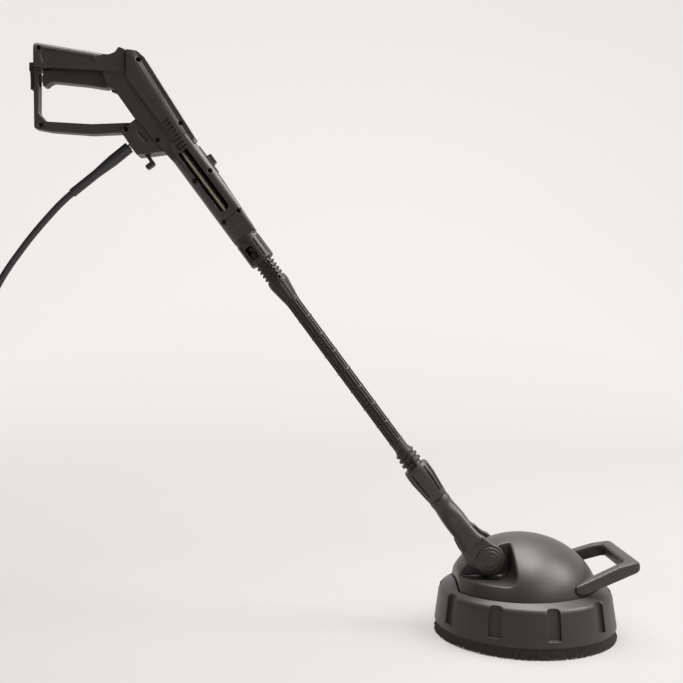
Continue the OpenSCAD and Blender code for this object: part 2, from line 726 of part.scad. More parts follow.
module lance_tube() color(charcoal) wand() difference() {
    union() {
        difference() {
            rod(tube_r, foot_end, tube_end);
            flute_cuts(foot_end + 14, tube_len - 15, tube_r + 0.5, 1.5);
        }
        for (i = [0:ring_count - 1])
            translate([foot_end + 14 + (tube_len - 18) * i / (ring_count - 1), 0, 0])
            turned() polygon([[tube_r - 2, 0], [tube_r - 0.2, 0], [tube_r + 0.7, 0.9], [tube_r + 0.7, 2.4],
                [tube_r - 0.2, 3.3], [tube_r - 2, 3.3]]);
    }
    rod(spigot_r + seat_gap, foot_end - past, tube_end + past);
}

module lance_head() color(charcoal) wand() difference() {
    union() {
        difference() {
            turned() polygon(concat(
                [[waterway_r, tube_end - spigot_len], [spigot_r, tube_end - spigot_len],
                    [spigot_r, tube_end], [tube_r + 0.6, tube_end], [14.6, cone_end - 6], [14.6, cone_end]],
                ring_steps(cone_end, 5, neck_len / 5, 14, 0, 11.6),
                [[11.6, neck_end], [plug_r, neck_end + collar_gap], [plug_r, neck_end + plug_len - 8],
                    [plug_r - 2, neck_end + plug_len - 8], [plug_r - 2, neck_end + plug_len - 5],
                    [plug_r, neck_end + plug_len - 5], [plug_r, neck_end + plug_len - 1],
                    [plug_r - 1, neck_end + plug_len], [waterway_r, neck_end + plug_len]]));
            for (i = [0:flutes - 1]) rotate([360 * (i + 0.5) / flutes, 0, 0])
                translate([tube_end + 2, 0, tube_r + 1.4]) rotate([0, -8, 0]) rod(1.6, 0, cone_len - 8);
        }
        translate([neck_end + collar_gap + 9, plug_r - 2.5, -9]) cube([8, 4.4, 7.4]);
    }
    rotate([25 - 90, 0, 0]) translate([cone_end - 1, -1.4, 10.6]) cube([neck_len + 1, 2.8, 10]);
    for (m = [0, 1]) mirror([0, m, 0]) translate([cone_end + 2, 12.6, -20]) cube([neck_len - 4, 10, 40]);
}

module head_seal() color(black) wand() translate([neck_end + plug_len - 6.5, 0, 0]) rotate([0, 90, 0])
    rotate_extrude() translate([plug_r - 1, 0]) circle(0.98, $fn = 24);

// Gun

module gun_collar() color(charcoal) gun() difference() {
    turned() polygon([[plug_r + seat_gap, -collar_len], [collar_r - 1.5, -collar_len],
        [collar_r, -collar_len + 2], [collar_r, -6], [collar_r - 0.8, -5], [collar_r - 0.8, -3],
        [collar_r, -2], [collar_r, 0], [collar_tail_r, 0], [collar_tail_r, collar_tail],
        [pipe_r + seat_gap, collar_tail], [pipe_r + seat_gap, collar_tail - 6],
        [waterway_r, collar_tail - 6], [waterway_r, plug_len - collar_len - collar_gap + 0.2],
        [plug_r + seat_gap, plug_len - collar_len - collar_gap + 0.2]]);
    translate([-collar_len + 14, 0, -5.2]) rotate([-90, 0, 0]) linear_extrude(30)
        polygon(rounded([[-6, -5.6, 2], [13, -5.6, 2], [13, 5.6, 2], [-6, 5.6, 2]]));
    for (a = [25, 52, 79, 106, 133, 160], m = [0, 1]) if (m == 0 || a > 40)
        rotate([m == 0 ? a - 90 : -a - 90, 0, 0])
        translate([-collar_len + 5, -0.9, collar_r - 1.8]) cube([collar_len - 14, 1.8, 5]);
}

module barrel_section(inset = 0) {
    r = barrel_y - inset;
    top_r = 10;
    top = barrel_top - inset;
    translate([0, -0.7]) circle(r);
    translate([-r, -0.7]) square([2 * r, top - top_r + 0.7]);
    translate([-r + top_r, 0]) square([2 * (r - top_r), top]);
    for (m = [-1, 1]) translate([m * (r - top_r), top - top_r]) circle(top_r);
}

// Bar with rounded top edges, its top face on the X axis
module round_top(half, length, r) along(length) polygon(rounded([[-half, -130, 0], [half, -130, 0],
    [half, 0, r], [-half, 0, r]]));

casing_slope = atan2(37.1 - 27, 289.7 - 155);
grip_slope = atan2(54 - 38, 108 - 12);

module barrel_form() intersection() {
    along(barrel_len + 10) barrel_section();
    side(100) polygon([[0, -40], [barrel_len + 10, -40], [barrel_len + 10, barrel_top], [84, barrel_top],
        [8, barrel_top - 4.2], [0, barrel_top - 5]]);
}

// Side outline of the casing behind the barrel
casing_outline = rounded([[144, -18.2, 0], [223, -25.2, 0], [271, -24.2, 0], [279.5, -29.6, 3],
    [308, -19.8, 0], [324, -8, 0], [312, 10, 0], [305, 23, 6], [297, 33, 6], [283, 36.4, 10],
    [152, 26.6, 2], [149.5, 22.6, 0], [144, 22.6, 0]]);

// Space behind a level wall across the gun, where the grip takes over from the casing
module behind(back, up) translate([trigger_g, 0, trigger_t]) rotate([0, grip_angle, 0])
    translate([back, -60, up])
    cube(120);

// Flat lower plate, and the rounded hood that stands out over it
module casing_form() {
    difference() {
        side(2 * plate_y) polygon(casing_outline);
        behind(rest_end, 16);
    }
    difference() {
        intersection() {
            side(2 * casing_y) polygon(casing_outline);
            translate([140, 0, 27 - 15 * tan(casing_slope)]) rotate([0, -casing_slope, 0])
                round_top(casing_y, 230, 17);
            along(400) polygon(rounded([[-casing_y, -3, 12], [casing_y, -3, 12], [casing_y, 90, 0],
                [-casing_y, 90, 0]]));
        }
        behind(hood_end, -60);
    }
}

module block_form() side(2 * block_y) polygon(rounded([[156, -10, 0], [159, -16, 4], [173, -41, 0],
    [180, -53, 3], [220.5, block_face, 0], [221, -25, 0], [221, -10, 0]]));

module grip_form() intersection() {
    side(2 * grip_y) polygon(rounded([[rest_end, 10, 0], [grip_end, 17, 0], [grip_end, 54, 5], [12, 38, 10],
        [rest_end, 34, 0]]));
    translate([12, 0, 38]) rotate([0, -grip_slope, 0]) translate([-60, 0, 0]) round_top(grip_y, 200, 11);
}

// Hollow for the thumb ahead of the grip, with a beak before the casing
module thumb_rest() side(2 * grip_y) polygon(rounded([[30, 14, 0], [30, 19, 0], [22, 23, 6], [14, 33, 6],
    [8, 34.6, 4], [1, 34, 10], [-8.4, 37.4, 8], [-12.2, 43.8, 1], [-15, 44.2, 1.5], [rest_end, 41, 1],
    [rest_end, 14, 0]]));

// Post and trigger guard in one bent outline
module guard_form() side(2 * guard_y) polygon(rounded([[post_out, 30, 0], [post_out - 1, -66.8, 4],
    [84, -71, 0], [27, -75.2, 60], [-22, -72.8, 0], [-44, -66, 0], [-39, -56, 2], [-29, -58.6, 8],
    [27, -60.6, 60], [90, -57, 8], [100.5, -45, 10], [100.5, 30, 0]]));

module well_cuts(depth_list) for (w = depth_list) translate([w.x, 0, w.y]) {
    rod_y(well_r, w.z, 40);
    rod_y(screw_r + 0.05, screw_tip - 0.2, 40);
}

// Inside of the casing: bores, pockets and slots that hold the working pieces
module gun_cavities() {
    gun() {
        rod(bore_r, -past, valve_front + past);
        rod(collar_tail_r + seat_gap, -past, collar_tail + 0.2);
        rod(valve_r + seat_gap, valve_front - seat_gap, valve_end + seat_gap);
        rod(valve_pin_r + 0.8, valve_end, trigger_g + 9);
        translate([inlet_g, 0, boss_end - 0.1]) cylinder(r = 7.5 + seat_gap, h = -boss_end);
        translate([inlet_g, 0, block_face - 20])
            cylinder(r = nipple_r + seat_gap, h = 20 - block_face + boss_end);
        translate([0, 0, clip_t]) {
            translate([140, -clip_y - 0.3, -clip_thick / 2 - 0.3])
                cube([inlet_g + 8 - 140, 2 * clip_y + 0.6, clip_thick + 0.6]);
        }
        // Slot through the near half that shows the pipe
        translate([window_start, 0, window_t]) rotate([-90, 0, 0]) linear_extrude(40)
            polygon(rounded([[0, -window_w / 2, window_w * 0.48], [window_len, -window_w / 2, 1],
                [window_len, window_w / 2, 1], [0, window_w / 2, window_w * 0.48]]));
        // Track of the barrel slide
        translate([slide_start + 4 - slide_travel - 0.5, -3.15, barrel_top - 4.7])
            cube([slide_len - 8 + 2 * slide_travel + 1, 6.3, 20]);
        // Pocket for the trigger's nose
        side(2 * 4.6) polygon([[trigger_g - 14, trigger_t - 3], [trigger_g + 9, trigger_t - 3],
            [trigger_g + 9, trigger_t + nose_lever + nose_r + 3],
            [trigger_g - 14, trigger_t + nose_lever + nose_r + 3]]);
        for (m = [0, 1]) mirror([0, m, 0]) {
            for (i = [0:7]) translate([148 + 6.2 * i, casing_y - 3, -0.5]) cube([3.2, 10, 12]);
            translate([204, plate_y - 0.8, -3]) cube([76, 5, 1.2]);
            translate([186, block_y - 2, -33]) rotate([0, 6, 0]) cube([19, 5, 5]);
        }
        well_cuts(barrel_wells);
        translate([33, 0, 0]) difference() {
            translate([0, -40, -40]) cube([1, 80, 80]);
            translate([-past, 0, 0]) along(4) barrel_section(0.8);
        }
    }
    handle() {
        side(2 * (trigger_y + trigger_room)) polygon(rounded([[-9, -18, 0], [trigger_len + 2.5, -18, 0],
            [trigger_len + 2.5, roof_z, 3], [66, roof_z, 10], [8, 27, 10], [-9, 13, 3]]));
        rod_y(trigger_pin_r + seat_gap, -13.1, 13.1);
        translate([trigger_len, -4.3, -catch_travel - 0.4]) cube([30, 8.6, 10 + catch_travel + 0.8]);
        well_cuts(grip_wells);
        for (m = [0, 1]) mirror([0, m, 0]) translate([0, grip_y - 0.8, 0]) rotate([90, 0, 0])
            mirror([0, 0, 1])
            linear_extrude(5) polygon(rounded([[22, 21, 4], [92, 21, 4], [98, 43, 6], [22, 31, 4]]));
    }
}

module gun_body() difference() {
    union() {
        gun() barrel_form();
        gun() casing_form();
        gun() block_form();
        handle() grip_form();
        handle() thumb_rest();
        handle() guard_form();
    }
    gun_cavities();
}

// One half of the casing, parted on the middle plane
module gun_shell(far) color(charcoal) intersection() {
    gun_body();
    gun() translate([-100, far ? -100 : 0, -400]) cube([700, 100, 700]);
}

module well_screws(list) for (w = list) translate([w.x, 0, w.y]) difference() {
    union() {
        rod_y(well_r - 0.5, w.z, w.z + screw_head_h);
        rod_y(screw_r, screw_tip, w.z);
    }
    rod_y(1.2, w.z + 0.8, w.z + 10, $fn = 6);
}

module shell_screws() color(black) {
    gun() well_screws(barrel_wells);
    handle() well_screws(grip_wells);
}

module delivery_pipe() color(brass) gun() difference() {
    rod(pipe_r, collar_tail - 5.5, valve_front + 8);
    rod(pipe_r - 1, 0, valve_front + 20);
}

module valve_body() color(brass) gun() difference() {
    union() {
        rod(valve_r, valve_front, valve_end);
        translate([inlet_g, 0, boss_end]) cylinder(r = 7.5, h = -boss_end);
    }
    rod(pipe_r + seat_gap, valve_front - past, valve_front + 8);
    rod(waterway_r, valve_front + 8, valve_end - 20);
    rod(valve_pin_r + running_gap, valve_end - 20, valve_end + past);
    translate([inlet_g, 0, boss_end - past]) cylinder(r = waterway_r, h = -boss_end);
}

pin_end = trigger_g - nose_r - nose_gap;

module valve_pin() color(steel) gun() turned() polygon([[0, valve_end - 13], [valve_pin_r, valve_end - 13],
    [valve_pin_r, pin_end - 1], [valve_pin_r - 1, pin_end], [0, pin_end]]);

module trigger() color(charcoal) difference() {
    union() {
        handle() {
            rod_y(7, -trigger_y, trigger_y);
            side(2 * trigger_y) polygon(rounded([[0, -7, 0], [6, -11, 4], [34, -6.5, 50],
                [trigger_len - 12, -1.5, 12], [trigger_len - 5, -8, 3], [trigger_len, -8, 2],
                [trigger_len, 14, 3], [60, 19, 20], [10, 13, 10], [0, 7, 0]]));
        }
        gun() {
            translate([trigger_g - 3.5, -4, trigger_t]) cube([7, 8, nose_lever]);
            translate([trigger_g, 0, trigger_t + nose_lever]) rod_y(nose_r, -4, 4);
        }
    }
    handle() {
        rod_y(trigger_pin_r + running_gap, -30, 30);
        side(2 * trigger_y - 5) polygon(rounded([[14, -5, 3], [50, -0.5, 2], [50, 8, 1], [66, 8, 1],
            [66, 2, 2], [trigger_len - 14, 3, 3], [trigger_len - 8, 30, 0], [14, 30, 0]]));
    }
}

module trigger_pin() color(steel) handle() rod_y(trigger_pin_r, -13, 13);

// Return spring over the trigger, one unbroken wire
spring_x = 58;
spring_low = 8.3;
spring_turns = 7;
spring_r = 4;
spring_wire = 0.5;
spring_rise = roof_z - spring_low - 2 * spring_wire - 2;

module trigger_spring() color(steel) handle() tube([for (k = [0:spring_turns * 8]) [
    spring_x + spring_r * cos(45 * k), spring_r * sin(45 * k),
    spring_low + spring_wire + spring_rise * k / (spring_turns * 8)]], spring_wire, 6, [0, 0, 1]);

module rear_catch() color(charcoal) handle() {
    side(12) polygon(rounded([[post_out + 0.2, catch_low, 0], [post_out + catch_t - 2, catch_low, 1],
        [post_out + catch_t - 2, 13, 0], [post_out + catch_t, 14, 0], [post_out + catch_t, catch_high, 1],
        [post_out + 0.2, catch_high, 0]]));
    translate([trigger_len + 3, -4, 0]) cube([post_out + 1 - trigger_len - 3, 8, 10]);
}

module barrel_slide() color(charcoal) gun() {
    translate([slide_start, -6, barrel_top + 0.1]) cube([slide_len, 12, 1.5]);
    translate([slide_start + 4, -3, barrel_top - 4.5]) cube([slide_len - 8, 6, 5]);
    side(11) polygon(rounded([[slide_start + 11, barrel_top + 1, 0], [slide_start + 27, barrel_top + 1, 0],
        [slide_start + 26, barrel_top + 7.6, 1.5], [slide_start + 13, barrel_top + 7.6, 1.5]]));
}

// Sliding clip whose fork locks the nipple in the block
module hose_clip() color(charcoal) gun() difference() {
    union() {
        translate([176, -clip_y, clip_t - clip_thick / 2])
            cube([inlet_g + 5 - 176, 2 * clip_y, clip_thick]);
        side(10) polygon(rounded([[178, clip_t - 2.2, 0], [163.5, clip_t - 2.6, 1], [163.5, -53.5, 2],
            [156.5, -53.5, 2], [156.5, clip_t + 2.2, 3], [178, clip_t + 2.2, 0]]));
    }
    translate([inlet_g, 0, clip_t - 10]) cylinder(r = neck_r + 0.2, h = 20);
    translate([inlet_g, -neck_r - 0.2, clip_t - 10]) cube([20, 2 * neck_r + 0.4, 20]);
}

// Hose

module inlet_nipple() color(brass) gun() translate([inlet_g, 0, 0]) rotate([180, 0, 0]) rotate_extrude()
    polygon([[waterway_r, -boss_end], [nipple_r, -boss_end], [nipple_r, -clip_t - clip_thick / 2 - 0.3],
        [neck_r, -clip_t - clip_thick / 2 - 0.3], [neck_r, -clip_t + clip_thick / 2 + 0.3],
        [nipple_r, -clip_t + clip_thick / 2 + 0.3], [nipple_r, -block_face + 1], [4, -block_face + 1],
        [4, -block_face + 16], [waterway_r, -block_face + 16]]);

module hose_sleeve() color(black) inlet() rotate([180, 0, 0]) rotate_extrude() polygon([[5, sleeve_gap],
    [sleeve_r - 0.6, sleeve_gap], [sleeve_r, sleeve_gap + 0.6], [sleeve_r, sleeve_gap + 30],
    [sleeve_end_r, sleeve_gap + 60], [sleeve_end_r, sleeve_gap + sleeve_len - 1],
    [sleeve_end_r - 1, sleeve_gap + sleeve_len], [5, sleeve_gap + sleeve_len]]);

module hose_lead() color(black) head() tube(lead_route, hose_r, 10, [2, 0, -1]);

// Height in steps at a number of turns: level in a layer, climbing in the half turn round each reversal
function layer_at(turns) = let (
        k = floor(turns / layer_turns + 0.5),
        ramp = (turns - k * layer_turns) * 2 + 0.5
    )
    k == 0 || k == coil_layers ? (k == 0 ? 0 : coil_layers - 1) : k - 1 + max(0, min(1, ramp));

// Radius at a number of turns: in and out at a steady rate
function coil_radius(turns) = let (u = turns / layer_turns, k = floor(u / 2))
    coil_in + (coil_out - coil_in) * abs(1 - (u - 2 * k));

coil_route = concat(
    [[lead_end.x, lead_end.y, hose_low]],
    [for (k = [0:coil_turns * coil_rings]) let (t = k / coil_rings)
        [coil_x + coil_radius(t) * cos(360 * t), coil_y + coil_radius(t) * sin(360 * t),
            hose_low + coil_step * layer_at(t)]],
    [for (p = tail_route) [tail_x, coil_y - p.x, coil_top - tail_drop * p.y]]);

// Least distance between rings of the coil that are at least a third of a turn apart, less the hose
coil_clear = min([for (i = [0:len(coil_route) - 1], j = [i + 8:1:len(coil_route) - 1])
    norm(coil_route[i] - coil_route[j])]) - hose_d;
echo(coil_least_gap = coil_clear);

module hose_coil() color(black) head() intersection() {
    tube(coil_route, hose_r, 6, [0, 0, 1]);
    translate([coil_x - 200, coil_y - 300, 0]) cube([500, 600, 100]);
}

module hose_tie() color(black) head() translate([coil_x, coil_y, 0]) rotate([0, 0, 20])
    translate([0, 6, 0]) rotate([90, 0, 0])
    linear_extrude(12) {
        near = coil_in - hose_r - 1;
        far = coil_out + hose_r + 1;
        high = coil_top + hose_r + 1;
        difference() {
            polygon(rounded([[near - 1.2, 0, 0], [far + 1.2, 0, 0], [far + 1.2, high + 1.2, 4],
                [near - 1.2, high + 1.2, 4]]));
            polygon(rounded([[near, 0.9, 0], [far, 0.9, 0], [far, high, 3], [near, high, 3]]));
        }
    }

module hose_ferrule() color(steel) head() translate([tail_x, tail_y, plug_z]) rotate([90, 0, 0])
    rotate_extrude() polygon([[0, 0], [hose_r + 1, 0], [plug_z, 1], [plug_z, 5], [plug_z - 0.7, 6],
        [plug_z - 0.7, 8], [plug_z, 9], [plug_z, 13], [plug_z - 0.7, 14], [plug_z - 0.7, 16],
        [plug_z, 17], [plug_z, 22], [0, 22]]);

module hose_plug() color(brass) head() translate([tail_x, tail_y - 22, plug_z]) rotate([90, 0, 0])
    difference() {
        rotate_extrude() polygon([[0, 0], [plug_z - 1, 0], [plug_z, 1], [plug_z, 9], [plug_z - 1, 10],
            [5, 10], [5, 30], [0, 30]]);
        translate([0, 0, 10]) cylinder(r = 2.5, h = 30);
    }

skirt_housing();
dome_cover();
dome_screws();
front_handle();
brush_carrier();
brush_strip(0);  // brush_strip_1
brush_strip(1);  // brush_strip_2
brush_strip(2);  // brush_strip_3
brush_strip(3);  // brush_strip_4
brush_strip(4);  // brush_strip_5
spindle_bush();
swivel_block();
spindle_seal();
spindle();
spindle_circlip();
spray_bar();
bar_plugs();
nozzle(180);  // nozzle_left
nozzle(0);  // nozzle_right
fork_arm();
pivot_pin(0);  // pivot_pin_left
pivot_pin(1);  // pivot_pin_right
pivot_seals();
pivot_cap(0);  // pivot_cap_left
pivot_cap(1);  // pivot_cap_right
arm_socket();
lance_foot();
foot_seal();
lance_tube();
lance_head();
head_seal();
gun_collar();
gun_shell(false);  // gun_shell_near
gun_shell(true);  // gun_shell_far
shell_screws();
delivery_pipe();
valve_body();
valve_pin();
trigger();
trigger_pin();
trigger_spring();
rear_catch();
barrel_slide();
hose_clip();
inlet_nipple();
hose_sleeve();
hose_lead();
hose_coil();
hose_tie();
hose_ferrule();
hose_plug();
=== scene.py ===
import json
import math
import random

import bmesh
import bpy
from mathutils import Matrix, Vector
from mathutils.bvhtree import BVHTree


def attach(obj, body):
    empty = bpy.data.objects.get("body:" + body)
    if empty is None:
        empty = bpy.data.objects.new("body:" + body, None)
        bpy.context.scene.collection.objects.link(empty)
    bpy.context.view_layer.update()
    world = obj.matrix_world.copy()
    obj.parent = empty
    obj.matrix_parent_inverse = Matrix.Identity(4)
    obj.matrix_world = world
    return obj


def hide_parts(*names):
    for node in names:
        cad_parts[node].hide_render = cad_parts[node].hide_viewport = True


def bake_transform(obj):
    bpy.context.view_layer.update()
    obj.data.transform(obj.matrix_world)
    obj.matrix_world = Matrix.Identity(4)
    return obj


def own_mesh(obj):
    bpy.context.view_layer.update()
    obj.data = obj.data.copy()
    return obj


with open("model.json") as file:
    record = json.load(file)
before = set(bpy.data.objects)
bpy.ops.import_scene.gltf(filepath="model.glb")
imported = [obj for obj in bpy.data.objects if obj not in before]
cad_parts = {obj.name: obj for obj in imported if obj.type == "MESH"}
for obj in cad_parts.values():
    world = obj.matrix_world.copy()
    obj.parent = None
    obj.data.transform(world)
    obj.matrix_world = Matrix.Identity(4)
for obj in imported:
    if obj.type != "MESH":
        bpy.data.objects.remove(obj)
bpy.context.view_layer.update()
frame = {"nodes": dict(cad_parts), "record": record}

scene = bpy.context.scene
nodes = frame["nodes"]
bodyOf = {node: body for body, members in frame["record"]["behaviour"]["bodies"].items() for node in members}
mm = 0.001

# where the head and the wand are in the CAD model, in mm, and the wand's lean from level in degrees
placing = {"headX": 274.473, "hinge": (-56, 0, 109), "lean": 53.5, "offAxis": 6.3}
headFrame = Matrix.Scale(mm, 4) @ Matrix.Translation((placing["headX"], 0, 0))
wandFrame = (headFrame @ Matrix.Translation(placing["hinge"]) @ Matrix.Rotation(math.pi, 4, "Z")
             @ Matrix.Rotation(math.radians(-placing["lean"]), 4, "Y")
             @ Matrix.Translation((0, 0, -placing["offAxis"])))
print("frame loaded", len(nodes), "nodes")

# camera: level, a little below half the machine's height
view = {"place": (0.01847, -1.264, 0.405), "pitch": 90, "lens": 47.44, "sensor": 36, "far": 50}
camera = bpy.data.objects.new("camera", bpy.data.cameras.new("camera"))
scene.collection.objects.link(camera)
camera.location = view["place"]
camera.rotation_euler = (math.radians(view["pitch"]), 0, 0)
camera.data.lens = view["lens"]
camera.data.sensor_width = view["sensor"]
camera.data.clip_end = view["far"]
scene.camera = camera
print("camera placed")


def linear(hexColour):
    parts = [int(hexColour[i:i + 2], 16) / 255 for i in (1, 3, 5)]
    return [p / 12.92 if p <= 0.04045 else ((p + 0.055) / 1.055) ** 2.4 for p in parts] + [1.0]


def addNode(tree, kind, settings=None, **links):
    node = tree.nodes.new(kind)
    for key, value in (settings or {}).items():
        if isinstance(key, int) or key in node.inputs:
            node.inputs[key].default_value = value
        else:
            setattr(node, key, value)
    for key, source in links.items():
        socket = int(key[1:]) if key[1:].isdigit() else key.replace("_", " ")  # i0 is the first input
        tree.links.new(source, node.inputs[socket])
    return node


def newMaterial(name, **shader):
    material = bpy.data.materials.new(name)
    material.use_nodes = True
    tree = material.node_tree
    surface = tree.nodes["Principled BSDF"]
    for key, value in shader.items():
        surface.inputs[key.replace("_", " ")].default_value = value
    return material, tree, surface


# plastics: sizes in mm, and the grain is coarser than a real mould's, which is too fine to show
mould = {"ior": 1.5, "cloudDetail": 4.0, "cloudRough": 0.6, "toneSpan": (0.3, 0.72), "glossSpan": (0.3, 0.7),
         "grainDetail": 2.0, "grainDepth": 0.12}


def mouldedPlastic(name, settings):
    # even colour with faint flow marks that change tone and gloss together, under a fine grain
    material, tree, surface = newMaterial(name, IOR=mould["ior"], Specular_IOR_Level=settings["specular"])
    place = addNode(tree, "ShaderNodeTexCoord")
    cloud = addNode(tree, "ShaderNodeTexNoise", {
        "Scale": 1 / (settings["cloudSize"] * mm), "Detail": mould["cloudDetail"],
        "Roughness": mould["cloudRough"]},
        Vector=place.outputs["Object"])
    grain = addNode(tree, "ShaderNodeTexNoise", {
        "Scale": 1 / (settings["grainSize"] * mm), "Detail": mould["grainDetail"]},
        Vector=place.outputs["Object"])
    tone = addNode(tree, "ShaderNodeValToRGB", Fac=cloud.outputs["Fac"])
    for stop, position, colour in zip(tone.color_ramp.elements, mould["toneSpan"],
                                      (settings["dark"], settings["light"])):
        stop.position = position
        stop.color = linear(colour)
    gloss = addNode(tree, "ShaderNodeMapRange", {
        "From Min": mould["glossSpan"][0], "From Max": mould["glossSpan"][1],
        "To Min": settings["rough"][0], "To Max": settings["rough"][1]},
        Value=cloud.outputs["Fac"])
    bump = addNode(tree, "ShaderNodeBump", {
        "Strength": settings["bump"], "Distance": mould["grainDepth"] * mm},
        Height=grain.outputs["Fac"])
    tree.links.new(tone.outputs["Color"], surface.inputs["Base Color"])
    tree.links.new(gloss.outputs["Result"], surface.inputs["Roughness"])
    tree.links.new(bump.outputs["Normal"], surface.inputs["Normal"])
    return material


# ABS from a spark-eroded tool: warm charcoal with broad, soft highlights on the dome and skirt
headPlastic = mouldedPlastic("charcoal_abs_moulded", {
    "dark": "#312c29", "light": "#373230", "rough": (0.38, 0.46), "specular": 0.5, "cloudSize": 60,
    "grainSize": 0.9, "bump": 0.14})
# nylon from the same kind of tool: as matt, a shade lighter, with shorter flow marks
gunPlastic = mouldedPlastic("dark_nylon_moulded", {
    "dark": "#342f2c", "light": "#3a3531", "rough": (0.36, 0.46), "specular": 0.5, "cloudSize": 45,
    "grainSize": 0.9, "bump": 0.14})
# polypropylene from a smooth tool: darker, and with no grain, which would speckle on the narrow ribs
lancePlastic = mouldedPlastic("black_polypropylene_polished", {
    "dark": "#292421", "light": "#2f2a27", "rough": (0.36, 0.44), "specular": 0.36, "cloudSize": 40,
    "grainSize": 1.2, "bump": 0.0})
# rubber drawn through a smooth die: nearly black, with one narrow bright line along the hose
hoseRubber = mouldedPlastic("black_rubber_extruded", {
    "dark": "#1d1a19", "light": "#23201e", "rough": (0.12, 0.17), "specular": 0.6, "cloudSize": 30,
    "grainSize": 0.9, "bump": 0.04})
# drawn nylon filament: the tone changes from strand to strand, so that the ring looks fibrous
bristleNylon = mouldedPlastic("bristle_nylon_extruded", {
    "dark": "#38322e", "light": "#514a45", "rough": (0.4, 0.55), "specular": 0.4, "cloudSize": 4,
    "grainSize": 0.6, "bump": 0.1})

# metals: fine handling marks, in mm, that break up the gloss
metalMarks = {"size": 10 / 9, "detail": 3.0}


def plainMetal(name, colour, rough):
    material, tree, surface = newMaterial(name, Metallic=1.0, Base_Color=linear(colour))
    place = addNode(tree, "ShaderNodeTexCoord")
    marks = addNode(tree, "ShaderNodeTexNoise", {
        "Scale": 1 / (metalMarks["size"] * mm), "Detail": metalMarks["detail"]},
        Vector=place.outputs["Object"])
    gloss = addNode(tree, "ShaderNodeMapRange", {"To Min": rough[0], "To Max": rough[1]},
                    Value=marks.outputs["Fac"])
    tree.links.new(gloss.outputs["Result"], surface.inputs["Roughness"])
    return material


brass = plainMetal("brass_drawn", "#b9a27c", (0.38, 0.52))  # dull yellow, as drawn and handled
pipeBrassPaintedLight = plainMetal("brass_paler_painted_light", "#f0e6d2", (0.42, 0.54))  # painted light: a paler copy of the drawn brass, so the pipe looks lit inside its dark slot
steel = plainMetal("steel_zinc_plated", "#b4b7ba", (0.25, 0.42))  # cool grey with a clear shine
blackSteel = plainMetal("steel_blackened", "#35322f", (0.35, 0.5))  # dark heads that sink into their wells
print("materials made")


mergeGap = 0.005  # mm, between the loose triangles of a CAD mesh


def dress(node, material):
    mesh = nodes[node].data
    mesh.materials.clear()
    mesh.materials.append(material)


def finishPiece(name, shape, material, body, replaced, sharp=35):
    mesh = bpy.data.meshes.new(name)
    shape.to_mesh(mesh)
    shape.free()
    mesh.polygons.foreach_set("use_smooth", [True] * len(mesh.polygons))
    mesh.set_sharp_from_angle(angle=math.radians(sharp))
    mesh.materials.append(material)
    piece = bpy.data.objects.new(name, mesh)
    scene.collection.objects.link(piece)
    if body:  # a piece between two bodies is left without a body
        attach(piece, body)
    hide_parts(*replaced)
    return piece


def mergedCopy(node):
    shape = bmesh.new()
    shape.from_mesh(nodes[node].data)
    bmesh.ops.remove_doubles(shape, verts=shape.verts, dist=mergeGap * mm)
    return shape


# hose: one run from the nipple, through the air to the floor, and into the stored coil, in mm from the head
hose = {
    "diameter": 9.5, "roundness": 6, "smooth": 3, "weld": 0.01, "sharp": 60,
    "lead": [
        (-564, 0, 669.8), (-588, 0, 650.5), (-609, 0, 633.6), (-625.5, 0, 620.3), (-633.3, 0, 614),
        (-649, 0, 600), (-665, 0, 583), (-680, 0, 566), (-694, 0, 549), (-708, 0, 530.5), (-722, 0, 511),
        (-736, 0, 488.5), (-748, 0, 465), (-759, 0, 440), (-769, 0, 413), (-778, 0, 384), (-785, 0, 354),
        (-791, 0, 322), (-795, 0, 289), (-798, 0, 255), (-799.5, 0, 220), (-800, 0, 185), (-800, 0, 150),
        (-800, 0, 118), (-800, 0, 90), (-800, 0.5, 64), (-800, 3, 47), (-800, 9, 32), (-800, 19, 19.5),
        (-800, 32, 10.5), (-800, 46, 6.2), (-800, 60, 5.0), (-800, 80, 4.8)],
    "turns": 10.5, "layers": 4, "inner": 51, "gap": 0.9, "ringsPerTurn": 24, "low": 4.8,
    "tail": [(20, 0), (40, 0), (52, 0.12), (64, 0.34), (76, 0.62), (88, 0.86), (100, 0.98), (112, 1),
             (124, 1)],  # the run off the coil, and the share of the drop to the plug's height
    "plugHeight": 8, "still": 27, "held": 632,  # heights of the plug, and of what a blend would leave and lift
    "ends": [("hose_tie", hoseRubber, "black_rubber"), ("hose_ferrule", steel, "steel"),
             ("hose_plug", brass, "brass")],
}


def hoseRoute():
    step = hose["diameter"] + hose["gap"]
    layerTurns = hose["turns"] / hose["layers"]
    outer = hose["inner"] + step * layerTurns
    end = hose["lead"][-1]
    middle = (end[0] - outer, end[1] + hose["diameter"])
    lastLayer = hose["layers"] - 1
    top = hose["low"] + lastLayer * step
    route = [Vector(p) for p in hose["lead"]]
    for ring in range(int(hose["turns"] * hose["ringsPerTurn"]) + 1):
        turns = ring / hose["ringsPerTurn"]
        share = turns / layerTurns
        layer = math.floor(share + 0.5)
        climb = min(1, max(0, (turns - layer * layerTurns) * 2 + 0.5))  # half a turn from layer to layer
        level = 0 if layer == 0 else lastLayer if layer == hose["layers"] else layer - 1 + climb
        radius = hose["inner"] + (outer - hose["inner"]) * abs(1 - (share - 2 * math.floor(share / 2)))
        angle = 2 * math.pi * turns
        route.append(Vector((middle[0] + radius * math.cos(angle), middle[1] + radius * math.sin(angle),
                             hose["low"] + step * level)))
    for run, drop in hose["tail"]:
        route.append(Vector((middle[0] - outer, middle[1] - run, top - (top - hose["plugHeight"]) * drop)))
    return [headFrame @ p for p in route]


def betweenBodies(piece):
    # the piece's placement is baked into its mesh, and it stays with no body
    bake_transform(piece)
    return piece


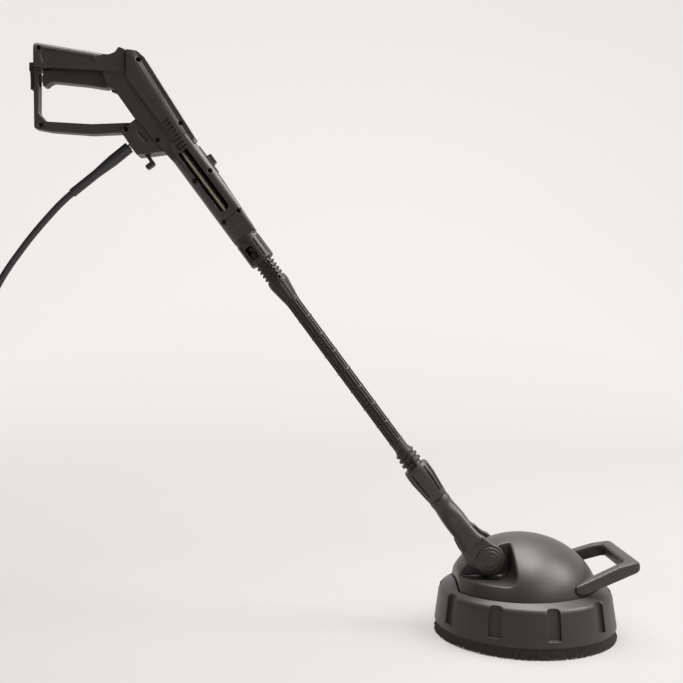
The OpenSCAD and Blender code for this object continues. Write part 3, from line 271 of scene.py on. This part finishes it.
def hosePiece():
    route = hoseRoute()
    curve = bpy.data.curves.new("hose", "CURVE")
    curve.dimensions = "3D"
    curve.bevel_depth = hose["diameter"] / 2 * mm
    curve.bevel_resolution = hose["roundness"]
    curve.resolution_u = hose["smooth"]
    curve.use_fill_caps = True
    line = curve.splines.new("BEZIER")
    line.bezier_points.add(len(route) - 1)
    for point, place in zip(line.bezier_points, route):
        point.co = place
        point.handle_left_type = "AUTO"
        point.handle_right_type = "AUTO"
    drawn = bpy.data.objects.new("hose-line", curve)
    scene.collection.objects.link(drawn)
    tube = bpy.data.meshes.new_from_object(drawn.evaluated_get(bpy.context.evaluated_depsgraph_get()))
    bpy.data.objects.remove(drawn)
    shape = bmesh.new()
    shape.from_mesh(tube)
    bmesh.ops.remove_doubles(shape, verts=shape.verts, dist=hose["weld"] * mm)
    piece = betweenBodies(finishPiece("hose", shape, hoseRubber, None, ["hose_lead", "hose_coil"],
                                      hose["sharp"]))
    ends = [betweenBodies(finishPiece(node.replace("_", "-"), mergedCopy(node), material, None, [node]))
            for node, material, slot in hose["ends"]]


hosePiece()

# CAD nodes: the gun's nylon unless another finish is named
headNodes = ["skirt_housing", "dome_cover", "front_handle", "fork_arm", "pivot_cap_left", "pivot_cap_right"]
finishes = [
    (headPlastic, headNodes + ["brush_carrier"]),
    (brass, ["valve_body", "hose_plug", "spindle_bush", "nozzle_left", "nozzle_right"]),
    (steel, ["dome_screws", "spindle", "spindle_circlip", "spray_bar", "pivot_pin_left", "pivot_pin_right",
             "valve_pin", "trigger_pin", "trigger_spring", "hose_ferrule", "inlet_nipple"]),
    (blackSteel, ["shell_screws"]),
    # the delivery pipe takes the paler brass: painted light for its dark slot
    (pipeBrassPaintedLight, ["delivery_pipe"]),
    (hoseRubber, ["hose_sleeve", "hose_tie", "foot_seal", "head_seal", "spindle_seal", "pivot_seals",
                  "bar_plugs"]),
]
for node in nodes:
    dress(node, gunPlastic)
for material, members in finishes:
    for node in members:
        dress(node, material)
print("nodes dressed")

# return spring: a copy of the CAD spring on its body, which the trigger presses short against the grip's roof
returnSpring = finishPiece("trigger-spring", mergedCopy("trigger_spring"), steel, bodyOf["trigger_spring"],
                           ["trigger_spring"])
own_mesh(returnSpring)
print("return spring made")

# brush strips: a backing that fills the carrier, and rows of nylon that spread at the floor, in mm
brush = {
    "strips": 5, "outer": 122.6, "width": 11, "low": 15, "high": 19, "steps": 24, "rows": 6, "perRow": 150,
    "edge": 0.9, "radius": 0.6175, "sides": 4, "rooted": 0.5, "knee": 0.45, "kneeBend": 0.35, "tipBend": 0.65,
    "flare": 2.6, "turnIn": 1.4,
    "seed": 40, "uneven": 0.35, "strayOut": 0.45, "strayAlong": 0.5, "tipHigh": 0.7,
}


def strand(place, out, along, tip):
    shape = bmesh.new()
    bmesh.ops.create_circle(shape, cap_ends=True, radius=brush["radius"], segments=brush["sides"],
                            matrix=Matrix.Translation((0, 0, brush["low"] + brush["rooted"])))
    face = shape.faces[:][0]
    for level, bend in ((brush["low"] * brush["knee"], brush["kneeBend"]), (tip, brush["tipBend"])):
        face = bmesh.ops.extrude_discrete_faces(shape, faces=[face])["faces"][0]
        bmesh.ops.translate(shape, verts=face.verts,
                            vec=(out * bend, along * bend, level - face.verts[0].co.z))
    bmesh.ops.transform(shape, verts=shape.verts, matrix=place)
    mesh = bpy.data.meshes.new("strand")
    shape.to_mesh(mesh)
    shape.free()
    return mesh


def brushPiece(index):
    draw = random.Random(brush["seed"] + index)
    shape = bmesh.new()
    arc = 2 * math.pi / brush["strips"]
    inner = brush["outer"] - brush["width"]
    outline = ((inner, brush["low"]), (brush["outer"], brush["low"]),
               (brush["outer"], brush["high"]), (inner, brush["high"]))
    end = shape.faces.new([shape.verts.new((r, 0, z)) for r, z in outline])
    bmesh.ops.spin(shape, geom=[end], axis=(0, 0, 1), cent=(0, 0, 0), angle=arc, steps=brush["steps"])
    for row in range(brush["rows"]):
        share = row / (brush["rows"] - 1)
        root = brush["outer"] - brush["edge"] - (brush["width"] - 2 * brush["edge"]) * share
        for k in range(brush["perRow"]):
            angle = arc * (k + 0.5 + draw.uniform(-brush["uneven"], brush["uneven"])) / brush["perRow"]
            out = brush["flare"] * (1 - brush["turnIn"] * share) + draw.gauss(0, brush["strayOut"])
            along = draw.gauss(0, brush["strayAlong"])
            tip = draw.uniform(0, brush["tipHigh"])
            place = Matrix.Rotation(angle, 4, "Z") @ Matrix.Translation((root, 0, 0))
            nylon = strand(place, out, along, tip)
            shape.from_mesh(nylon)
            bpy.data.meshes.remove(nylon)
    bmesh.ops.transform(shape, verts=shape.verts, matrix=headFrame @ Matrix.Rotation(arc * index, 4, "Z"))
    bmesh.ops.recalc_face_normals(shape, faces=shape.faces)
    node = "brush_strip_%d" % (index + 1)
    finishPiece("bristles-%d" % (index + 1), shape, bristleNylon, bodyOf[node], [node])


for index in range(brush["strips"]):
    brushPiece(index)
print("brush strips made")

# lance tube: a plain foot, narrow ribs between deep flutes, and rings that tie the ribs, in mm along the wand
lance = {
    "from": 184, "length": 262, "foot": 14, "overlap": 1, "radius": 10,
    "flutes": 12, "flute": 1.95, "flutePlace": 10.25, "perFlute": 16,
    "rings": 9, "ringStep": 30.5, "ringSides": 96,
    "ring": ((8, 0), (9.8, 0), (10.7, 0.9), (10.7, 2.4), (9.8, 3.3), (8, 3.3)),
}


def drawnTube(shape, start, end, fluted):
    along = Matrix.Translation((start, 0, 0)) @ Matrix.Rotation(math.pi / 2, 4, "Y")
    rim = bmesh.ops.create_circle(shape, cap_ends=True, segments=lance["flutes"] * lance["perFlute"],
                                  radius=lance["radius"], matrix=along)["verts"]
    pitch = 2 * math.pi / lance["flutes"]
    for vert in rim:
        turn = math.atan2(vert.co.y, vert.co.z) % pitch
        turn = min(turn, pitch - turn)
        across = lance["flutePlace"] * math.sin(turn)
        if fluted and across < lance["flute"]:
            floor = lance["flutePlace"] * math.cos(turn) - math.sqrt(lance["flute"] ** 2 - across ** 2)
            inward = min(1, floor / lance["radius"])
            vert.co.y *= inward
            vert.co.z *= inward
    grown = bmesh.ops.extrude_face_region(shape, geom=[rim[0].link_faces[0]])["geom"]
    bmesh.ops.translate(shape, verts=[g for g in grown if isinstance(g, bmesh.types.BMVert)],
                        vec=(end - start, 0, 0))


def lancePiece():
    shape = bmesh.new()
    start = lance["from"]
    ribs = start + lance["foot"]
    drawnTube(shape, start, ribs, False)
    drawnTube(shape, ribs - lance["overlap"], start + lance["length"], True)
    for index in range(lance["rings"]):
        place = ribs + lance["ringStep"] * index
        outline = [shape.verts.new((place + x, 0, r)) for r, x in lance["ring"]]
        edges = [shape.edges.new(pair) for pair in zip(outline, outline[1:] + outline[:1])]
        bmesh.ops.spin(shape, geom=outline + edges, axis=(1, 0, 0), cent=(0, 0, 0), angle=2 * math.pi,
                       steps=lance["ringSides"], use_merge=True)
    bmesh.ops.recalc_face_normals(shape, faces=shape.faces)
    bmesh.ops.transform(shape, verts=shape.verts, matrix=wandFrame)
    finishPiece("lance-tube", shape, lancePlastic, bodyOf["lance_tube"], ["lance_tube"])
    print("lance tube drawn")


lancePiece()

# rounded and softened copies: the guard's half width and the neck's reach along the wand in mm, the angle
# that counts as flat in degrees, and shares of an edge's radius and of a smoothing step
edgeWork = {"guardHalf": 8, "near": 0.05, "neck": (30, 93), "flat": 0.5, "stray": 0.6, "evenOut": 0.5}


def onGuard(edge):
    return all(abs(abs(v.co.y) - edgeWork["guardHalf"] * mm) < edgeWork["near"] * mm for v in edge.verts)


def onNeck(place):
    return edgeWork["neck"][0] < (wandFrame.inverted() @ place).x < edgeWork["neck"][1]


rounding = {  # passes of edge radius in mm, segments, least angle between faces, which edges
    "skirt_housing": [(1.2, 2, 30, None)],
    "arm_socket": [(0.5, 2, 35, None)],
    "lance_foot": [(0.4, 2, 35, None)],
    "lance_head": [(0.4, 2, 35, None)],
    "gun_collar": [(0.6, 2, 35, None)],
    "gun_shell_near": [(1.8, 3, 50, onGuard), (0.7, 2, 35, None)],
    "gun_shell_far": [(1.8, 3, 50, onGuard), (0.7, 2, 35, None)],
    "trigger": [(1.5, 3, 35, None)],
    "rear_catch": [(1.0, 2, 35, None)],
    "barrel_slide": [(0.6, 2, 35, None)],
    "hose_clip": [(1.0, 3, 35, None)],
    "hose_sleeve": [(0.5, 2, 30, None)],
}
softening = {  # voxel in mm, then rounds of smoothing and where
    "fork_arm": (1.0, [(14, None), (160, onNeck)]),
    "dome_cover": (1.4, [(10, None)]),
    "front_handle": (1.0, [(36, None)]),
    "pivot_cap_left": (0.6, [(14, None)]),
    "pivot_cap_right": (0.6, [(14, None)]),
}
lanceNodes = ["lance_foot", "lance_head", "gun_collar"]


def plasticOf(node):
    if node in headNodes:
        return headPlastic, "charcoal_plastic"
    if node == "hose_sleeve":
        return hoseRubber, "black_rubber"
    return lancePlastic if node in lanceNodes else gunPlastic, "dark_plastic"


def roundedCopy(node, passes):
    shape = mergedCopy(node)
    bmesh.ops.dissolve_limit(shape, angle_limit=math.radians(edgeWork["flat"]), verts=shape.verts,
                             edges=shape.edges)
    plain = BVHTree.FromBMesh(shape)
    for width, segments, angle, pick in passes:
        edges = [e for e in shape.edges if len(e.link_faces) == 2
                 and e.calc_face_angle(0) > math.radians(angle) and (pick is None or pick(e))]
        bmesh.ops.bevel(shape, geom=edges, offset=width * mm, offset_type="OFFSET", affect="EDGES",
                        segments=segments, profile=0.5, material=-1, clamp_overlap=False, miter_outer="ARC")
        for vert in shape.verts:  # a corner too small for its bevel throws points off the surface
            spot, normal, face, away = plain.find_nearest(vert.co)
            if away > edgeWork["stray"] * width * mm:
                vert.co = spot
    material, slot = plasticOf(node)
    piece = finishPiece(node.replace("_", "-"), shape, material, bodyOf[node], [node])
    normals = piece.modifiers.new("faceNormals", "WEIGHTED_NORMAL")
    normals.keep_sharp = True
    print("rounded", node, len(piece.data.polygons), "faces")


def softCopy(node, voxel, rounds):
    shape = mergedCopy(node)
    mesh = bpy.data.meshes.new(node)
    shape.to_mesh(mesh)
    shape.free()
    rough = bpy.data.objects.new(node + "-rough", mesh)
    scene.collection.objects.link(rough)
    even = rough.modifiers.new("voxels", "REMESH")
    even.mode = "VOXEL"
    even.voxel_size = voxel * mm
    shape = bmesh.new()
    shape.from_object(rough, bpy.context.evaluated_depsgraph_get())
    bpy.data.objects.remove(rough)
    for count, pick in rounds:
        verts = [v for v in shape.verts if pick is None or pick(v.co)]
        for step in range(count):
            bmesh.ops.smooth_vert(shape, verts=verts, factor=edgeWork["evenOut"],
                                  use_axis_x=True, use_axis_y=True, use_axis_z=True)
    material, slot = plasticOf(node)
    piece = finishPiece(node.replace("_", "-"), shape, material, bodyOf[node], [node], sharp=180)
    print("softened", node, len(piece.data.polygons), "faces")


for node, passes in rounding.items():
    roundedCopy(node, passes)
for node, (voxel, rounds) in softening.items():
    softCopy(node, voxel, rounds)

# floor and backdrop in one sweep, in metres
stage = {
    "half": 14.0, "front": -12.0, "back": 2.2, "bend": 1.2, "bendSteps": 12, "high": 7.0,
    "glowColour": "#e8e5e4", "bounce": "#a8a6a4", "seen": "#757372", "glow": (0.6, 0.98), "reach": (0.6, 3.4),
    "rough": 0.9, "specular": 0.1,
}


def paperMatt():
    # matt paper: it glows where it is looked at and in reflections, and more further off, so that it shows
    # pale under plain lamps and still takes the shadow
    material, tree, surface = newMaterial("paper_matt", Roughness=stage["rough"],
                                          Specular_IOR_Level=stage["specular"],
                                          Emission_Color=linear(stage["glowColour"]))
    path = addNode(tree, "ShaderNodeLightPath")
    direct = addNode(tree, "ShaderNodeMath", {"operation": "MAXIMUM"},
                     i0=path.outputs["Is Camera Ray"], i1=path.outputs["Is Glossy Ray"])
    seen = addNode(tree, "ShaderNodeMath", {"operation": "MAXIMUM"},
                   i0=direct.outputs[0], i1=path.outputs["Is Transmission Ray"])
    place = addNode(tree, "ShaderNodeTexCoord")
    away = addNode(tree, "ShaderNodeVectorMath", {"operation": "LENGTH"}, i0=place.outputs["Object"])
    level = addNode(tree, "ShaderNodeMapRange", {
        "From Min": stage["reach"][0], "From Max": stage["reach"][1],
        "To Min": stage["glow"][0], "To Max": stage["glow"][1]},
        Value=away.outputs["Value"])
    paper = addNode(tree, "ShaderNodeMix", {
        "data_type": "RGBA", 6: linear(stage["bounce"]), 7: linear(stage["seen"])}, i0=seen.outputs[0])
    glow = addNode(tree, "ShaderNodeMath", {"operation": "MULTIPLY"},
                   i0=seen.outputs[0], i1=level.outputs["Result"])
    tree.links.new(paper.outputs[2], surface.inputs["Base Color"])
    tree.links.new(glow.outputs[0], surface.inputs["Emission Strength"])
    return material


def floorSweep():
    sweep = bmesh.new()
    line = [sweep.verts.new((-stage["half"], y, 0)) for y in (stage["front"], stage["back"])]
    for step in range(1, stage["bendSteps"] + 1):
        turn = math.pi / 2 * step / stage["bendSteps"]
        line.append(sweep.verts.new((-stage["half"], stage["back"] + stage["bend"] * math.sin(turn),
                                     stage["bend"] * (1 - math.cos(turn)))))
    line.append(sweep.verts.new((-stage["half"], stage["back"] + stage["bend"], stage["high"])))
    edges = [sweep.edges.new(pair) for pair in zip(line, line[1:])]
    drawn = bmesh.ops.extrude_edge_only(sweep, edges=edges)["geom"]
    bmesh.ops.translate(sweep, verts=[g for g in drawn if isinstance(g, bmesh.types.BMVert)],
                        vec=(2 * stage["half"], 0, 0))
    bmesh.ops.recalc_face_normals(sweep, faces=sweep.faces)
    mesh = bpy.data.meshes.new("floor")
    sweep.to_mesh(mesh)
    sweep.free()
    mesh.polygons.foreach_set("use_smooth", [True] * len(mesh.polygons))
    mesh.materials.append(paperMatt())
    return mesh


floor = bpy.data.objects.new("floor", floorSweep())
scene.collection.objects.link(floor)

# lamps: round soft boxes, in metres
lamps = {
    "overhead": {"place": (0.25, 0.5, 2.6), "aim": (0.2, 0, 0), "size": 2.0, "watts": 78},
    "barrel": {"place": (0.55, -0.25, 1.75), "aim": (-0.2, 0, 0.5), "size": 0.6, "watts": 15},
    "side": {"place": (1.75, -0.35, 1.75), "aim": (0, 0, 0.35), "size": 1.4, "watts": 46},
    "key": {"place": (1.45, -1.6, 1.5), "aim": (0.28, 0, 0.1), "size": 0.5, "watts": 8},
    "fill": {"place": (-1.6, -2.0, 1.3), "aim": (0, 0, 0.4), "size": 1.6, "watts": 3},
}
for name, lamp in lamps.items():
    light = bpy.data.lights.new(name, "AREA")
    light.shape = "DISK"
    light.size = lamp["size"]
    light.energy = lamp["watts"]
    lampObject = bpy.data.objects.new(name, light)
    scene.collection.objects.link(lampObject)
    lampObject.location = lamp["place"]
    aim = Vector(lamp["aim"]) - Vector(lamp["place"])
    lampObject.rotation_euler = aim.to_track_quat("-Z", "Y").to_euler()

# the room: pale where it is looked at from behind, and dim as a light
room = {"colour": "#efeae7", "light": 0.085, "seen": 0.95}
world = bpy.data.worlds.new("studio")
scene.world = world
world.use_nodes = True
roomTree = world.node_tree
roomLight = roomTree.nodes["Background"]
roomLight.inputs["Color"].default_value = linear(room["colour"])
roomPath = addNode(roomTree, "ShaderNodeLightPath")
roomLevel = addNode(roomTree, "ShaderNodeMapRange", {"To Min": room["light"], "To Max": room["seen"]},
                    Value=roomPath.outputs["Is Camera Ray"])
roomTree.links.new(roomLevel.outputs["Result"], roomLight.inputs["Strength"])
scene.view_settings.view_transform = "Standard"
print("stage and lamps set")
